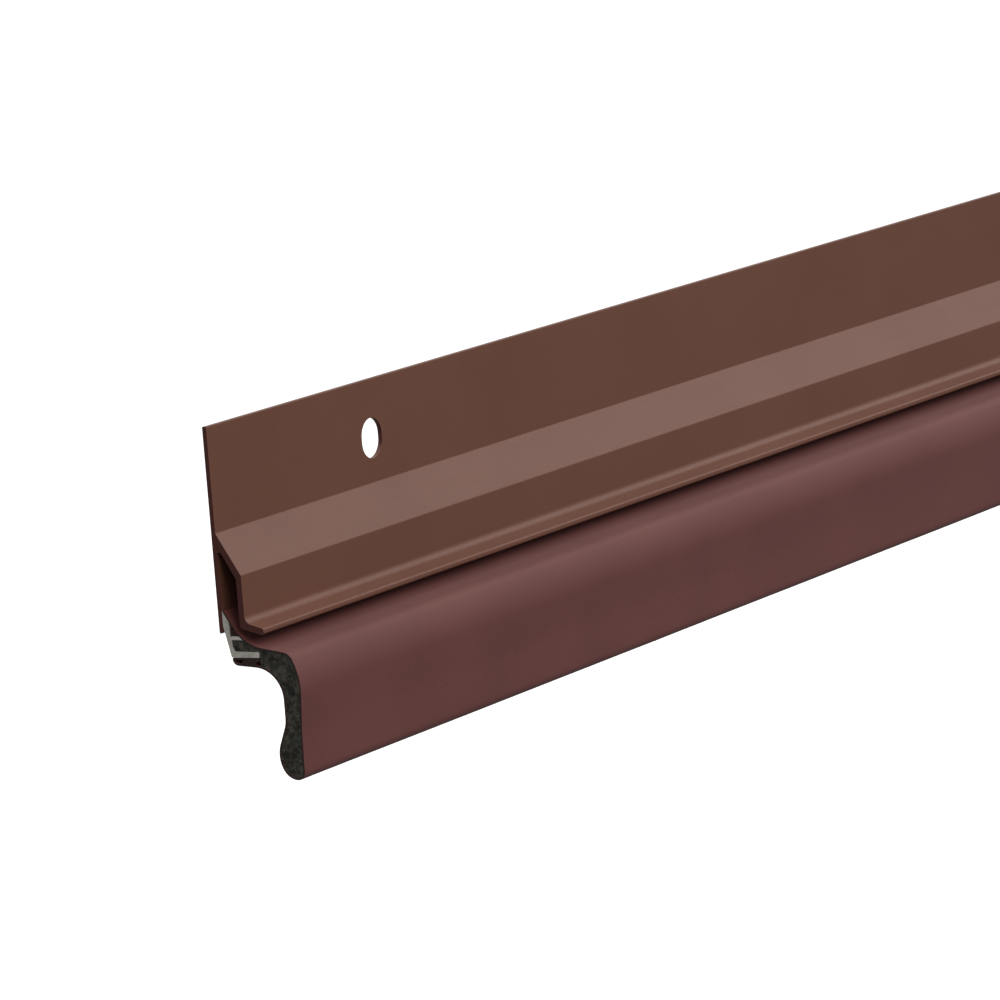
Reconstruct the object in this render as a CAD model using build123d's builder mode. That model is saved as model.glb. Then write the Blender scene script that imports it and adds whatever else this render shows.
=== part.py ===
from build123d import *
import os

# Door sweep: an aluminium carrier that holds a foam seal wrapped in film.
# X runs along the door, +Y points at the door (the carrier's back lies on Y = 0) and Z is up.
# The origin is halfway along, at slot height, on the mounting face. Sections are drawn as (Y, Z).

length = 914.4

# upright slots for the screws
slot_width = 6.7
slot_length = 7.7
slot_count = 4
slot_end_gap = 52.3
slot_pitch = (length - 2 * slot_end_gap) / (slot_count - 1)

# carrier
flange_top = 11.2
leg_bottom = -26.9
leg_t = 0.9
hood_root = -8.4
wall_y = -5.8
wall_top = -16.0
lip_root = (wall_y, -24.7)
lip_tip_top = (-9.75, -25.65)
lip_tip_low = (-9.85, -26.95)
wall_foot = (-4.65, -25.75)
roof_knee = (-4.65, -16.7)
roof_root = (-leg_t, -10.6)

# seal
film_t = 0.35
nose_top = (-leg_t, -22.1)
nose_foot = (-3.4, -25.8)
crest_start = (-9.0, -29.25)
crest_fall = 7
crest_length = 4.75
shoulder_r = 2.4
shoulder_turn = 55
brow_r = 12
brow_turn = 32
brow_length = 5.0
front_r = 60
front_turn = 3
front_foot_z = -51.85
toe_r = 1.6
toe_turn = 89
sole_r = 3.4
sole_turn = 60
bulb_r = 5.5
bulb_turn = 45
bulb_top_r = 6.0
bulb_top_turn = 7
back_length = 3.0
waist_r = 5.5
waist_turn = 22
waist_length = 3.3
crook_r = 5.8
crook_turn = 87
heel = (-2.6, -32.7)
heel_r = 1.3
film_start_z = -22.75
plate_bend = (-leg_t, -25.5)

# insert
nose_inside = (-2.15, -24.5)
upper_leg_root = (-2.35, -27.35)
upper_leg_tip = (-4.9, -27.3)
upper_leg_tip_low = (-4.9, -27.95)
upper_leg_root_low = (-2.5, -28.0)
plate_knee = (-2.65, -29.2)
long_leg_root = (-3.1, -30.1)
long_leg_tip = (-8.4, -30.05)
long_leg_tip_low = (-8.35, -31.05)
long_leg_root_low = (-3.2, -31.25)
plate_foot = (-2.0, -31.25)

# hinge that stands for the bending neck
hinge = Vector(-11.0, -31.7)
neck_angle = 8
knuckle_r = 1.65
knuckle_gap = 0.3
notch_top = 30
notch_under = 40


def heading(angle):
    """Unit vector in a section; the angle counts from +Y towards +Z."""
    return Vector(1, 0).rotate(Axis.Z, angle)


# whole section of the seal, film included, drawn as one run of tangent lines and arcs
with BuildSketch(Plane.YZ) as seal_section:
    with BuildLine():
        nose = Line(nose_top, nose_foot)
        TangentArc(nose_foot, crest_start, tangent=nose % 1)
        crest = Line(crest_start, Vector(crest_start) + crest_length * heading(180 + crest_fall))
        shoulder = JernArc(crest @ 1, crest % 1, shoulder_r, shoulder_turn)
        brow = JernArc(shoulder @ 1, shoulder % 1, brow_r, brow_turn)
        chest = Line(brow @ 1, brow @ 1 + brow_length * (brow % 1))
        straighten = JernArc(chest @ 1, chest % 1, front_r, -front_turn)
        front = Line(straighten @ 1, ((straighten @ 1).X, front_foot_z))
        toe = JernArc(front @ 1, (0, -1), toe_r, toe_turn)
        sole = JernArc(toe @ 1, toe % 1, sole_r, sole_turn)
        bulb = JernArc(sole @ 1, sole % 1, bulb_r, bulb_turn)
        bulb_top = JernArc(bulb @ 1, bulb % 1, bulb_top_r, bulb_top_turn)
        back = Line(bulb_top @ 1, bulb_top @ 1 + back_length * (bulb_top % 1))
        waist = JernArc(back @ 1, back % 1, waist_r, -waist_turn)
        calf = Line(waist @ 1, waist @ 1 + waist_length * (waist % 1))
        crook = JernArc(calf @ 1, calf % 1, crook_r, -crook_turn)
        Polyline(crook @ 1, heel, plate_bend, nose_top)
    make_face()
    fillet(vertices().sort_by_distance(heel)[0], heel_r)

# what the film wraps
with BuildSketch(Plane.YZ) as core_section:
    add(seal_section.sketch_local)
    offset(amount=-film_t)

# the seal's two sides of the neck
with BuildSketch(Plane.YZ) as leaf_side:
    with BuildLine():
        Polyline(
            hinge,
            hinge + 6 * heading(90 + neck_angle),
            (-20, -20),
            (-25, -20),
            (-25, -60),
            (-9, -60),
            (-9, -42),
            hinge + 5 * heading(-90 + neck_angle),
            close=True,
        )
    make_face()

with BuildSketch(Plane.YZ) as root_side:
    with BuildLine():
        Polyline(
            hinge,
            hinge + 9 * heading(90 + neck_angle - notch_top),
            (1, -20),
            (1, -45),
            hinge + 12 * heading(-90 + neck_angle + notch_under),
            close=True,
        )
    make_face()

with BuildPart() as carrier:
    with BuildSketch(Plane.YZ):
        with BuildLine():
            Polyline(
                (0, flange_top),
                (0, leg_bottom),
                (-leg_t, leg_bottom),
                roof_root,
                roof_knee,
                wall_foot,
                lip_tip_low,
                lip_tip_top,
                lip_root,
                (wall_y, wall_top),
                (-leg_t, hood_root),
                (-leg_t, flange_top),
                close=True,
            )
        make_face()
        for corner, radius in (
            ((0, flange_top), 0.2),
            ((0, leg_bottom), 0.2),
            ((-leg_t, leg_bottom), 0.5),
            (roof_root, 0.5),
            (roof_knee, 1.2),
            (wall_foot, 1.0),
            (lip_tip_low, 0.5),
            (lip_tip_top, 0.4),
            (lip_root, 1.5),
            ((wall_y, wall_top), 0.5),
            ((-leg_t, hood_root), 0.3),
            ((-leg_t, flange_top), 0.2),
        ):
            fillet(vertices().sort_by_distance(corner)[0], radius)
    extrude(amount=length / 2, both=True)
    with BuildSketch(Plane.XZ):
        with GridLocations(slot_pitch, 1, slot_count, 1):
            SlotOverall(slot_length, slot_width, rotation=90)
    extrude(amount=leg_t, mode=Mode.SUBTRACT)

# film over the nose and the root's top, puckered between the plate and the upper leg
with BuildPart() as film_upper:
    with BuildSketch(Plane.YZ) as film_upper_section:
        with BuildLine():
            Polyline(
                (1, -20),
                (1, film_start_z),
                (-leg_t, film_start_z),
                (-5, -29.9),
                (-17, -32),
                (-17, -20),
                close=True,
            )
        make_face()
        add(core_section.sketch_local, mode=Mode.SUBTRACT)
        with BuildLine():
            Polyline(nose_inside, upper_leg_root, upper_leg_tip, (-5.9, -27.9), nose_foot, close=True)
        make_face()
        add(seal_section.sketch_local, mode=Mode.INTERSECT)
        add(root_side.sketch_local, mode=Mode.INTERSECT)
    extrude(amount=length / 2, both=True)

# plate against the carrier's leg, with two legs of its own into the foam
with BuildPart() as insert:
    with BuildSketch(Plane.YZ) as insert_section:
        with BuildLine():
            Polyline(
                nose_top,
                nose_inside,
                upper_leg_root,
                upper_leg_tip,
                upper_leg_tip_low,
                upper_leg_root_low,
                plate_knee,
                long_leg_root,
                long_leg_tip,
                long_leg_tip_low,
                long_leg_root_low,
                plate_foot,
                plate_bend,
                close=True,
            )
        make_face()
        add(seal_section.sketch_local, mode=Mode.INTERSECT)
        add(film_upper_section.sketch_local, mode=Mode.SUBTRACT)
    extrude(amount=length / 2, both=True)

# film under the root, its end tucked under the long leg
with BuildPart() as film_lower:
    with BuildSketch(Plane.YZ) as film_lower_section:
        with BuildLine():
            Polyline(
                (1, plate_foot[1]),
                (-12, plate_foot[1]),
                (-12, -45),
                (1, -45),
                close=True,
            )
        make_face()
        add(core_section.sketch_local, mode=Mode.SUBTRACT)
        with BuildLine():
            Polyline(
                (1, plate_foot[1]),
                plate_foot,
                long_leg_root_low,
                (-7.9, -30.9),
                (-7.6, -36),
                (1, -36),
                close=True,
            )
        make_face()
        add(seal_section.sketch_local, mode=Mode.INTERSECT)
        add(root_side.sketch_local, mode=Mode.INTERSECT)
        add(insert_section.sketch_local, mode=Mode.SUBTRACT)
    extrude(amount=length / 2, both=True)

# film round the hanging leaf
with BuildPart() as film_leaf:
    with BuildSketch(Plane.YZ):
        add(seal_section.sketch_local)
        add(core_section.sketch_local, mode=Mode.SUBTRACT)
        add(leaf_side.sketch_local, mode=Mode.INTERSECT)
    extrude(amount=length / 2, both=True)

with BuildPart() as foam_root:
    with BuildSketch(Plane.YZ):
        add(seal_section.sketch_local)
        add(root_side.sketch_local, mode=Mode.INTERSECT)
        add(film_upper_section.sketch_local, mode=Mode.SUBTRACT)
        add(insert_section.sketch_local, mode=Mode.SUBTRACT)
        add(film_lower_section.sketch_local, mode=Mode.SUBTRACT)
        with Locations(hinge):
            Circle(knuckle_r + knuckle_gap, mode=Mode.SUBTRACT)
    extrude(amount=length / 2, both=True)

with BuildPart() as foam_leaf:
    with BuildSketch(Plane.YZ):
        add(core_section.sketch_local)
        add(leaf_side.sketch_local, mode=Mode.INTERSECT)
        with Locations(hinge):
            Circle(knuckle_r)
    extrude(amount=length / 2, both=True)

os.makedirs("parts", exist_ok=True)
carrier.part.label = "carrier"
insert.part.label = "insert"
foam_root.part.label = "foam_root"
foam_leaf.part.label = "foam_leaf"
film_upper.part.label = "film_upper"
film_lower.part.label = "film_lower"
film_leaf.part.label = "film_leaf"
export_step(carrier.part, "parts/carrier.step")
export_step(insert.part, "parts/insert.step")
export_step(foam_root.part, "parts/foam_root.step")
export_step(foam_leaf.part, "parts/foam_leaf.step")
export_step(film_upper.part, "parts/film_upper.step")
export_step(film_lower.part, "parts/film_lower.step")
export_step(film_leaf.part, "parts/film_leaf.step")
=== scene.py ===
import math
import random

import bpy
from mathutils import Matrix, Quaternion, Vector, noise
from mathutils.geometry import delaunay_2d_cdt


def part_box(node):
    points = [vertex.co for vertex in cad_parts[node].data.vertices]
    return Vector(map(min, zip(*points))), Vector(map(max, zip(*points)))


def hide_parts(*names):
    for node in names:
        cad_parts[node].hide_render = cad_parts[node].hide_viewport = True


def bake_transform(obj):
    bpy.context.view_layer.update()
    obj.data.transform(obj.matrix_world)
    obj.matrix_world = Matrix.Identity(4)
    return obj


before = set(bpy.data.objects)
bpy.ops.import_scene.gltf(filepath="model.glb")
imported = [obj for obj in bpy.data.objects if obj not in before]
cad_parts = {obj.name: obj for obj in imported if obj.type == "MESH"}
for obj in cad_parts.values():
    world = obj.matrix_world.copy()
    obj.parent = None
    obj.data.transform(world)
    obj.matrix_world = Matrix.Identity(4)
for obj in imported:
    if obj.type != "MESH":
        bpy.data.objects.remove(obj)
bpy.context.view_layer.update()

# Sections are drawn in millimetres as (Y, Z); X runs along the door.
MM = 0.001
END_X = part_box("carrier")[1].x / MM

# film and foam
FILM_T = 0.35
FOAM_GAP = 0.02
SECTION_STEP = 0.6
NOSE_TOP = (-1.25, -22.62)
NOSE_FOOT = (-3.4, -25.8)
CREST_START = (-9.0, -29.25)
CREST_HEADING = 187
CREST_LENGTH = 4.75
CHEST_LENGTH = 5.0
FRONT_FOOT_Z = -51.85
BACK_LENGTH = 3.0
CALF_LENGTH = 3.3
HEEL = (-2.6, -32.7)
HEEL_R = 1.3
PLATE_FOOT = (-2.29, -31.31)
PLATE_FOOT_R = 0.3
TUCK_END = (-7.7, -31.14)
FOLD_LENGTH = 2.8
FOLD_END_LENGTH = 2.5

# bends in the film's outline, each a radius and a turn in degrees
SHOULDER = (2.4, 55)
BROW = (12, 32)
STRAIGHTEN = (60, -3)
TOE = (1.6, 89)
SOLE = (3.4, 60)
BULB = (5.5, 45)
BULB_TOP = (6.0, 7)
WAIST = (5.5, -22)
CROOK = (5.8, -87)
FOLD_UNDER = (0.40, 180)
FOLD_BACK = (0.06, -180)

# pleat in the film behind the nose
PLEAT_START = (-2.57, -25.7)
PLEAT_HEADING = 271
PLEAT_STEP = 0.25
PLEAT_T = 0.15
PLEAT_RUNS = (1.2, 0.5, 0.55, 0.3)
PLEAT_BENDS = ((0.08, -180), (0.23, 180), (0.08, -180))

# unevenness of the film, in millimetres apart from the scale
RIPPLE_LENGTH = 38
RIPPLE_WIDTH = 9
RIPPLE_HEIGHT = 0.03
FINE_RIPPLE_HEIGHT = 0.012
FINE_RIPPLE_SCALE = 4.7
GATHER_LENGTH = 2.4
GATHER_WIDTH = 2
GATHER_HEIGHT = 0.05

# cuts along X: how far the first ones lie from each end, and the number of equal spans between
END_CUTS = (0, 0.25, 0.6, 1.2, 2.2, 4, 6.5, 10, 14, 19, 25, 32)
MIDDLE_SPANS = 130

# The foam's skin is all that lies in front of FOAM_BACK_Y, and behind it the part between two heights.
FOAM_BACK_Y = -8.25
FOAM_BACK_LOW_Z = -30
FOAM_BACK_TOP_Z = -28.05
FOAM_UNDER_LEG = (FOAM_BACK_Y, -31.2)

# cut faces of the foam
FOAM_SEED = 11
FOAM_STEP = 0.34
FOAM_JITTER = 0.2
FOAM_EDGE_ROOM = 0.55
FOAM_RECESS = 0.06
CELL_SIZE = 0.55
CELL_REACH = 0.55
CELL_DEPTH = 0.30
SWELL_SCALE = 0.35
SWELL_HEIGHT = 0.05
CELL_SEED = 3.7

# foam's corners round the insert's legs, 0.03 to 0.05 mm from the plastic's own corners
LEG_TIP_LOW = (-8.38, -31.08)
LEG_TIP_TOP = (-8.43, -30.02)
LEG_ROOT = (-3.14, -30.07)
PLATE_KNEE = (-2.69, -29.2)
UPPER_LEG_ROOT = (-2.54, -28.03)
UPPER_LEG_TIP = (-4.9, -27.98)

# camera: place from the carrier's near end, lens and sensor in millimetres, angles in degrees
CAMERA_FROM_END = (-818.1, -600.3, 165.0)
CAMERA_SWING = 56.7
CAMERA_PITCH = 9.6
CAMERA_ROLL = -4.45
LENS = 204.6
SENSOR_WIDTH = 36

# what the camera sees lies between these distances, in metres
NEAR_CLIP = 0.01
FAR_CLIP = 60

SKY_STRENGTH = 1.35


# ---------------------------------------------------------------- outlines

def heading_vector(degrees):
    """Unit vector in the section; the angle counts from +Y towards +Z."""
    return Vector((math.cos(math.radians(degrees)), math.sin(math.radians(degrees))))


def heading_of(vector):
    return math.degrees(math.atan2(vector.y, vector.x))


def turn_between(a, b):
    """Signed turn from heading a to heading b, from -180 to 180 degrees."""
    return (b - a + 180) % 360 - 180


class Outline:
    """A run of points in the section, drawn with lines and arcs that leave where the last one points."""

    def __init__(self, start, heading, step=SECTION_STEP):
        self.points = [Vector(start)]
        self.headings = [heading]
        self.heading = heading
        self.step = step

    def add(self, point, heading):
        self.points.append(point)
        self.headings.append(heading)
        self.heading = heading
        return self

    def line(self, length):
        start, count = self.points[-1], max(1, round(length / self.step))
        for i in range(1, count + 1):
            self.add(start + heading_vector(self.heading) * length * i / count, self.heading)
        return self

    def arc(self, radius, turn):
        side = math.copysign(1, turn)
        centre = self.points[-1] + heading_vector(self.heading + 90 * side) * radius
        arc_length = radius * math.radians(abs(turn))
        count = max(2, round(arc_length / self.step), round(abs(turn) / 12))
        first = self.heading
        for i in range(1, count + 1):
            now = first + turn * i / count
            self.add(centre + heading_vector(now - 90 * side) * radius, now)
        return self

    def arc_to(self, point):
        """Tangent arc that ends at a point."""
        chord = Vector(point) - self.points[-1]
        half_turn = turn_between(self.heading, heading_of(chord))
        return self.arc(chord.length / 2 / math.sin(math.radians(abs(half_turn))), 2 * half_turn)

    def corner(self, point, beyond, radius):
        """Line towards a corner, then a round one that leaves for the point beyond."""
        ahead = Vector(point) - self.points[-1]
        self.heading = heading_of(ahead)
        turn = turn_between(self.heading, heading_of(Vector(beyond) - Vector(point)))
        self.line(ahead.length - radius * math.tan(math.radians(abs(turn) / 2)))
        return self.arc(radius, turn)

    def line_to(self, point):
        ahead = Vector(point) - self.points[-1]
        self.heading = heading_of(ahead)
        return self.line(ahead.length)


def seal_outline():
    """Outer face of the film: over nose and crest, down the front, round the bulb, back under the root."""
    nose = Vector(NOSE_FOOT) - Vector(NOSE_TOP)
    path = Outline(NOSE_TOP, heading_of(nose))
    path.line(nose.length)
    path.arc_to(CREST_START)
    path.heading = CREST_HEADING
    path.line(CREST_LENGTH)
    path.arc(*SHOULDER).arc(*BROW)
    path.line(CHEST_LENGTH)
    path.arc(*STRAIGHTEN)
    path.line(path.points[-1].y - FRONT_FOOT_Z)
    path.arc(*TOE).arc(*SOLE).arc(*BULB).arc(*BULB_TOP)
    path.line(BACK_LENGTH)
    path.arc(*WAIST)
    path.line(CALF_LENGTH)
    path.arc(*CROOK)
    return path


def film_outline():
    """The film's outer face from the nose to the folds that are tucked in under the insert's long leg."""
    path = seal_outline()
    path.corner(HEEL, PLATE_FOOT, HEEL_R)
    path.corner(PLATE_FOOT, TUCK_END, PLATE_FOOT_R)
    path.line_to(TUCK_END)
    path.arc(*FOLD_UNDER)
    path.line(FOLD_LENGTH)
    path.arc(*FOLD_BACK)
    path.line(FOLD_END_LENGTH)
    return path


def pleat_outline():
    """The film's zigzag behind the nose."""
    path = Outline(PLEAT_START, PLEAT_HEADING, PLEAT_STEP)
    path.line(PLEAT_RUNS[0])
    for bend, run in zip(PLEAT_BENDS, PLEAT_RUNS[1:]):
        path.arc(*bend).line(run)
    return path


def offset(path, distance):
    """The path's points moved to its left."""
    return [p + heading_vector(h + 90) * distance for p, h in zip(path.points, path.headings)]


# ---------------------------------------------------------------- meshes

def x_stations():
    """Cuts along X in millimetres, close together near the two ends."""
    span = 2 * (END_X - END_CUTS[-1])
    left = [-END_X + d for d in END_CUTS]
    middle = [left[-1] + span * i / MIDDLE_SPANS for i in range(1, MIDDLE_SPANS)]
    return left + middle + [-x for x in reversed(left)]


def new_piece(name, vertices, faces, smooth_angle=40):
    mesh = bpy.data.meshes.new(name)
    mesh.from_pydata([v * MM for v in vertices], [], faces)
    mesh.validate()
    mesh.shade_smooth()
    mesh.set_sharp_from_angle(angle=math.radians(smooth_angle))
    piece = bpy.data.objects.new(name, mesh)
    bpy.context.scene.collection.objects.link(piece)
    return piece


def band(outer, inner, stations, ripple, first=0):
    """A strip with a thickness, swept along X; ripple(x, point) lifts both of its faces."""
    count, ring = len(outer), 2 * len(outer)
    vertices, faces = [], []
    for x in stations:
        lifts = [(o - i).normalized() * ripple(x, o) for o, i in zip(outer, inner)]
        near = [p + lift for p, lift in zip(outer, lifts)]
        far = [p + lift for p, lift in zip(inner, lifts)]
        vertices += [Vector((x, p.x, p.y)) for p in near + far[::-1]]
    for s in range(len(stations) - 1):
        a, b = first + s * ring, first + (s + 1) * ring
        faces += [(a + i, a + (i + 1) % ring, b + (i + 1) % ring, b + i) for i in range(ring)]
    last = first + (len(stations) - 1) * ring
    for i in range(count - 1):
        quad = (i, ring - 1 - i, ring - 2 - i, i + 1)
        faces.append(tuple(first + k for k in quad))
        faces.append(tuple(last + k for k in reversed(quad)))
    return vertices, faces


def film_ripple(x, point):
    """Slight unevenness of film laid over foam, in millimetres."""
    at = Vector((x / RIPPLE_LENGTH, point.x / RIPPLE_WIDTH, point.y / RIPPLE_WIDTH))
    return RIPPLE_HEIGHT * noise.noise(at) + FINE_RIPPLE_HEIGHT * noise.noise(at * FINE_RIPPLE_SCALE)


def pucker(x, point):
    """Gathers along the film that is crushed in behind the nose, in millimetres."""
    at = Vector((x / GATHER_LENGTH, point.x / GATHER_WIDTH, point.y / GATHER_WIDTH))
    return GATHER_HEIGHT * noise.noise(at)


def build_film():
    path = film_outline()
    stations = x_stations()
    outer, inner = path.points, offset(path, FILM_T)
    vertices, faces = band(outer, inner, stations, film_ripple)
    pleat = pleat_outline()
    more, more_faces = band(pleat.points, offset(pleat, PLEAT_T), stations, pucker, len(vertices))
    piece = new_piece("film_wrap", vertices + more, faces + more_faces)
    return piece, path


def foam_boundary():
    """Closed outline of the foam, inside the film and round the insert's two legs."""
    face = offset(seal_outline(), FILM_T + FOAM_GAP)
    skin = [p for p in face if p.x < FOAM_BACK_Y or FOAM_BACK_LOW_Z < p.y < FOAM_BACK_TOP_Z]
    ends = [
        FOAM_UNDER_LEG, LEG_TIP_LOW, LEG_TIP_TOP, LEG_ROOT, PLATE_KNEE, UPPER_LEG_ROOT, UPPER_LEG_TIP,
    ]
    points = list(skin)
    for end in ends + [tuple(skin[0])]:
        start, finish = points[-1], Vector(end)
        count = max(1, round((finish - start).length / SECTION_STEP))
        points += [start.lerp(finish, i / count) for i in range(1, count + 1)]
    return points[:-1]


def pores(y, z, seed):
    """Depth of the cut foam's open cells in millimetres."""
    at = Vector((y / CELL_SIZE, z / CELL_SIZE, seed))
    distances, _ = noise.voronoi(at)
    cell = max(0.0, CELL_REACH - distances[0])
    return CELL_DEPTH * cell + SWELL_HEIGHT * noise.noise(at * SWELL_SCALE)


def build_foam():
    """Foam swept from end to end, its two cut faces meshed finely enough to show open cells."""
    outline = foam_boundary()
    random.seed(FOAM_SEED)
    step = FOAM_STEP
    low = Vector((min(p.x for p in outline), min(p.y for p in outline)))
    high = Vector((max(p.x for p in outline), max(p.y for p in outline)))
    inside = []
    rows, columns = int((high.y - low.y) / step), int((high.x - low.x) / step)
    for row in range(1, rows):
        for column in range(1, columns):
            shift = 0.5 * (row % 2)
            inside.append(Vector((
                low.x + step * (column + shift + random.uniform(-FOAM_JITTER, FOAM_JITTER)),
                low.y + step * (row + random.uniform(-FOAM_JITTER, FOAM_JITTER)),
            )))
    inside = [p for p in inside if min((p - q).length for q in outline) > FOAM_EDGE_ROOM * step]
    count = len(outline)
    edges = [(i, (i + 1) % count) for i in range(count)]
    inside_only, tolerance = 1, 1e-5
    points, _, triangles, _, _, _ = delaunay_2d_cdt(outline + inside, edges, [], inside_only, tolerance)
    used = sorted({i for t in triangles for i in t})
    place = {i: k for k, i in enumerate(used)}
    points = [points[i] for i in used]
    triangles = [tuple(place[i] for i in t) for t in triangles]
    vertices, faces = [], []
    for side in (-1, 1):
        for k, p in enumerate(points):
            depth = FOAM_RECESS
            if used[k] >= count:
                depth += max(0.0, pores(p.x, p.y, CELL_SEED * side))
            vertices.append(Vector((side * (END_X - depth), p.x, p.y)))
    n = len(points)
    faces += [tuple(reversed(t)) for t in triangles]
    faces += [tuple(n + i for i in t) for t in triangles]
    rim = [place[i] for i in range(count)]
    for here, following in zip(rim, rim[1:] + rim[:1]):
        faces.append((here, following, n + following, n + here))
    return new_piece("foam_core", vertices, faces, smooth_angle=60)


# ---------------------------------------------------------------- materials

def node(tree, kind, inputs=None, **settings):
    made = tree.nodes.new(kind)
    for name, value in settings.items():
        setattr(made, name, value)
    for name, value in (inputs or {}).items():
        if isinstance(value, bpy.types.NodeSocket):
            tree.links.new(value, made.inputs[name])
        else:
            made.inputs[name].default_value = value
    return made


def ramp(tree, source, stops):
    made = node(tree, "ShaderNodeValToRGB", {"Fac": source})
    elements = made.color_ramp.elements
    while len(elements) < len(stops):
        elements.new(0.5)
    for element, (position, colour) in zip(elements, stops):
        element.position = position
        element.color = (*colour, 1)
    return made.outputs["Color"]


def grey(value):
    return (value, value, value)


def two_tone(tree, source, dark, light):
    return ramp(tree, source, [(0.3, dark), (0.7, light)])


def new_material(name, **sockets):
    made = bpy.data.materials.new(name)
    made.use_nodes = True
    shader = made.node_tree.nodes["Principled BSDF"]
    for socket, value in sockets.items():
        shader.inputs[socket.replace("_", " ")].default_value = value
    return made, made.node_tree, shader


def object_coordinates(tree, scale=(1, 1, 1)):
    place = node(tree, "ShaderNodeTexCoord").outputs["Object"]
    return node(tree, "ShaderNodeMapping", {"Vector": place, "Scale": scale}).outputs["Vector"]


def noise_texture(tree, vector, scale, detail=3, roughness=0.5):
    made = node(tree, "ShaderNodeTexNoise", {
        "Vector": vector, "Scale": scale, "Detail": detail, "Roughness": roughness,
    })
    return made.outputs["Fac"]


def rough_between(tree, shader, source, low, high):
    made = node(tree, "ShaderNodeMapRange", {"Value": source, "To Min": low, "To Max": high})
    tree.links.new(made.outputs["Result"], shader.inputs["Roughness"])


def bump(tree, height, strength, distance, below=None):
    inputs = {"Height": height, "Strength": strength, "Distance": distance}
    if below is not None:
        inputs["Normal"] = below
    return node(tree, "ShaderNodeBump", inputs).outputs["Normal"]


def cut_end_painted_shade(tree, shade):
    """A factor for the colour that drops to a darker shade on the faces cut square to X: painted shade on
    the cut ends.
    """
    normal = node(tree, "ShaderNodeNewGeometry").outputs["True Normal"]
    along = node(tree, "ShaderNodeSeparateXYZ", {"Vector": normal}).outputs["X"]
    size = node(tree, "ShaderNodeMath", {0: along}, operation="ABSOLUTE").outputs["Value"]
    return ramp(tree, size, [(0.88, (1, 1, 1)), (0.94, shade)])


def multiplied(tree, first, second):
    made = node(tree, "ShaderNodeMix", {0: 1.0}, data_type="RGBA", blend_type="MULTIPLY")
    tree.links.new(first, made.inputs[6])
    tree.links.new(second, made.inputs[7])
    return made.outputs[2]


def brown_aluminium():
    """Satin baked-on brown over drawn aluminium: faint die lines along X and a fine orange peel."""
    made, tree, shader = new_material("brown_aluminium", IOR=1.45, Specular_IOR_Level=0.24)
    place = object_coordinates(tree)
    along = object_coordinates(tree, (0.02, 1, 1))
    cloud = noise_texture(tree, place, scale=35, detail=4, roughness=0.6)
    speck = noise_texture(tree, place, scale=2600, detail=2, roughness=0.6)
    lines = noise_texture(tree, along, scale=1500, roughness=0.7)
    tone = two_tone(tree, cloud, (0.087, 0.0345, 0.0215), (0.097, 0.0395, 0.0255))
    flecks = ramp(tree, speck, [(0.30, grey(0.92)), (0.62, grey(1.0)), (0.78, grey(1.10))])
    colour = multiplied(tree, tone, flecks)
    # painted shade: the faces square to X, the carrier's cut ends, are darkened to a dull red-brown
    with_painted_end_shade = multiplied(tree, colour, cut_end_painted_shade(tree, (0.52, 0.38, 0.48)))
    tree.links.new(with_painted_end_shade, shader.inputs["Base Color"])
    rough_between(tree, shader, lines, 0.40, 0.50)
    peel = bump(tree, speck, strength=0.25, distance=0.00002)
    normal = bump(tree, lines, strength=0.35, distance=0.00002, below=peel)
    tree.links.new(normal, shader.inputs["Normal"])
    return made


def grey_plastic():
    """Light grey extruded plastic with drawn flow lines along X."""
    made, tree, shader = new_material("grey_plastic", IOR=1.5, Specular_IOR_Level=0.3)
    place = object_coordinates(tree)
    along = object_coordinates(tree, (0.03, 1, 1))
    cloud = noise_texture(tree, place, scale=700, detail=4, roughness=0.65)
    lines = noise_texture(tree, along, scale=900, roughness=0.6)
    tone = two_tone(tree, cloud, (0.22, 0.205, 0.18), (0.36, 0.345, 0.31))
    tree.links.new(tone, shader.inputs["Base Color"])
    rough_between(tree, shader, lines, 0.45, 0.6)
    saw = bump(tree, cloud, strength=0.3, distance=0.00004)
    normal = bump(tree, lines, strength=0.4, distance=0.00003, below=saw)
    tree.links.new(normal, shader.inputs["Normal"])
    return made


def dark_foam():
    """Charcoal foam, mottled and flecked with brown; painted shade darkens each open cell towards its
    middle, leaving paler rims between cells.
    """
    made, tree, shader = new_material("dark_foam", Specular_IOR_Level=0.12, Roughness=0.92)
    place = object_coordinates(tree)
    cells = node(tree, "ShaderNodeTexVoronoi", {"Vector": place, "Scale": 2100}, feature="F1")
    blotch = noise_texture(tree, place, scale=620, detail=5, roughness=0.72)
    fleck = noise_texture(tree, place, scale=1500, roughness=0.6)
    tone = ramp(tree, blotch, [
        (0.37, (0.009, 0.010, 0.009)), (0.50, (0.023, 0.023, 0.019)), (0.63, (0.050, 0.048, 0.039)),
    ])
    warm = ramp(tree, fleck, [(0.56, (1, 1, 1)), (0.66, (1.4, 0.94, 0.72))])
    # painted shade: each cell darkens towards its centre, where the bump sinks, so the rims between cells
    # stay paler
    cell_painted_shade = ramp(tree, cells.outputs["Distance"], [(0.0, grey(0.72)), (0.55, grey(1.15))])
    colour = multiplied(tree, multiplied(tree, tone, warm), cell_painted_shade)
    tree.links.new(colour, shader.inputs["Base Color"])
    normal = bump(tree, cells.outputs["Distance"], strength=0.6, distance=0.00012)
    tree.links.new(normal, shader.inputs["Normal"])
    return made


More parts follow.
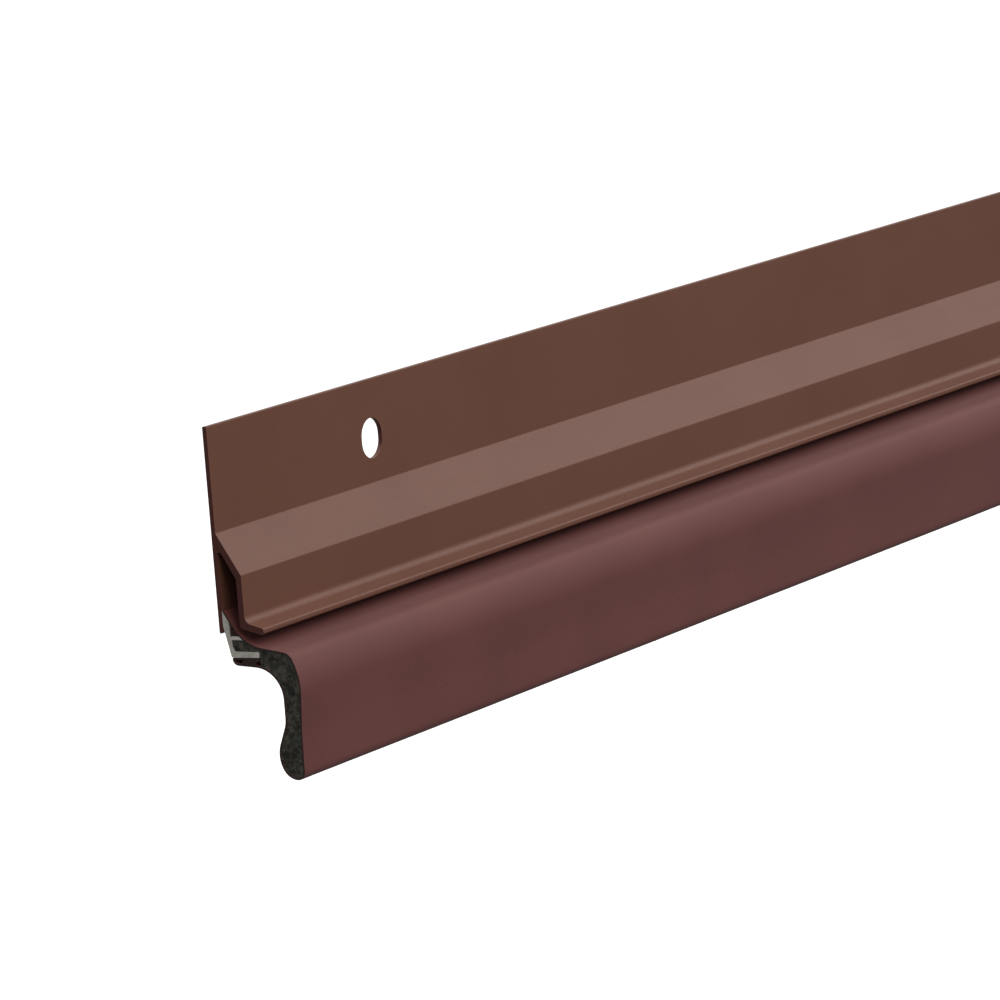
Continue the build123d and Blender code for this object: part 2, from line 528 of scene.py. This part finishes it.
def brown_film():
    """Matt red-brown film with a fine embossed grain."""
    made, tree, shader = new_material(
        "brown_film", Specular_IOR_Level=0.34, Sheen_Weight=0.05, Sheen_Roughness=0.4,
    )
    place = object_coordinates(tree)
    cloud = noise_texture(tree, place, scale=45)
    grain = noise_texture(tree, place, scale=3800, detail=2, roughness=0.6)
    emboss = node(tree, "ShaderNodeTexVoronoi", {"Vector": place, "Scale": 1900}, feature="F1")
    tone = two_tone(tree, cloud, (0.070, 0.0170, 0.0145), (0.079, 0.0205, 0.0175))
    flecks = two_tone(tree, grain, grey(0.90), grey(1.08))
    colour = multiplied(tree, tone, flecks)
    # painted shade: the film's cut edges are darkened nearly to black, standing in for the shadowed gap
    # along the cut
    with_painted_end_shade = multiplied(tree, colour, cut_end_painted_shade(tree, (0.16, 0.16, 0.16)))
    tree.links.new(with_painted_end_shade, shader.inputs["Base Color"])
    rough_between(tree, shader, grain, 0.64, 0.74)
    fine = bump(tree, emboss.outputs["Distance"], strength=0.30, distance=0.00003)
    normal = bump(tree, grain, strength=0.25, distance=0.00003, below=fine)
    tree.links.new(normal, shader.inputs["Normal"])
    return made


def white_floor():
    made, tree, shader = new_material("white_floor", Roughness=0.9)
    cloud = noise_texture(tree, object_coordinates(tree), scale=3)
    tree.links.new(ramp(tree, cloud, [(0, grey(0.93)), (1, grey(0.95))]), shader.inputs["Base Color"])
    return made


def paint(piece, finish):
    piece.data.materials.clear()
    piece.data.materials.append(finish)


# ---------------------------------------------------------------- the object

film, film_path = build_film()
foam = build_foam()
film_finish, foam_finish = brown_film(), dark_foam()
paint(film, film_finish)
paint(foam, foam_finish)
paint(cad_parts["carrier"], brown_aluminium())
paint(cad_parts["insert"], grey_plastic())

for piece in (film, foam):
    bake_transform(piece)
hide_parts("film_upper", "film_lower", "film_leaf")
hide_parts("foam_root", "foam_leaf")


# ---------------------------------------------------------------- stage

def build_floor(drop=0.45, half=30):
    """White sheet well below the sweep. The camera sees it, but it throws no light back on the sweep."""
    corners = [(-half, -half, -drop), (half, -half, -drop), (half, half, -drop), (-half, half, -drop)]
    mesh = bpy.data.meshes.new("floor")
    mesh.from_pydata(corners, [], [(0, 1, 2, 3)])
    floor = bpy.data.objects.new("floor", mesh)
    bpy.context.scene.collection.objects.link(floor)
    paint(floor, white_floor())
    floor.visible_diffuse = False
    floor.visible_glossy = False


def build_sky():
    """Soft studio light: brightest overhead, dim from below."""
    world = bpy.data.worlds.new("studio")
    bpy.context.scene.world = world
    world.use_nodes = True
    tree = world.node_tree
    direction = node(tree, "ShaderNodeTexCoord").outputs["Generated"]
    height = node(tree, "ShaderNodeSeparateXYZ", {"Vector": direction}).outputs["Z"]
    level = node(tree, "ShaderNodeMapRange", {
        "Value": height, "From Min": -1.0, "From Max": 1.0, "To Min": 0.0, "To Max": 1.0,
    })
    strength = ramp(tree, level.outputs["Result"], [
        (0.0, grey(0.12)), (0.5, grey(0.18)), (0.62, grey(0.56)), (0.78, grey(1.0)), (1.0, grey(1.0)),
    ])
    background = tree.nodes["Background"]
    tree.links.new(strength, background.inputs["Color"])
    background.inputs["Strength"].default_value = SKY_STRENGTH


def add_lamp(name, place, target, size, watts, colour=(1, 1, 1)):
    lamp = bpy.data.lights.new(name, "AREA")
    lamp.shape = "RECTANGLE"
    lamp.size, lamp.size_y = size
    lamp.energy, lamp.color = watts, colour
    holder = bpy.data.objects.new(name, lamp)
    holder.location = place
    holder.rotation_mode = "QUATERNION"
    holder.rotation_quaternion = (Vector(target) - Vector(place)).to_track_quat("-Z", "Y")
    bpy.context.scene.collection.objects.link(holder)


def add_camera():
    camera = bpy.data.cameras.new("camera")
    camera.lens, camera.sensor_width = LENS, SENSOR_WIDTH
    camera.clip_start, camera.clip_end = NEAR_CLIP, FAR_CLIP
    holder = bpy.data.objects.new("camera", camera)
    swing, pitch, roll = (math.radians(angle) for angle in (CAMERA_SWING, CAMERA_PITCH, CAMERA_ROLL))
    ahead = Vector((
        math.sin(swing) * math.cos(pitch), math.cos(swing) * math.cos(pitch), -math.sin(pitch),
    ))
    end = Vector((-END_X, 0, 0)) * MM
    holder.location = end + Vector(CAMERA_FROM_END) * MM
    holder.rotation_mode = "QUATERNION"
    holder.rotation_quaternion = ahead.to_track_quat("-Z", "Y") @ Quaternion((0, 0, 1), roll)
    bpy.context.scene.collection.objects.link(holder)
    bpy.context.scene.camera = holder


build_floor()
build_sky()
add_lamp("key", place=(-0.4, -1.37, 1.07), target=(-0.4, 0, 0), size=(2.4, 1.2), watts=32)
add_lamp(
    "side", place=(2.2, -1.15, 1.25), target=(-0.2, 0, 0), size=(2.4, 1.4), watts=14,
    colour=(1, 0.86, 0.78),
)
add_camera()
bpy.context.scene.view_settings.view_transform = "Standard"
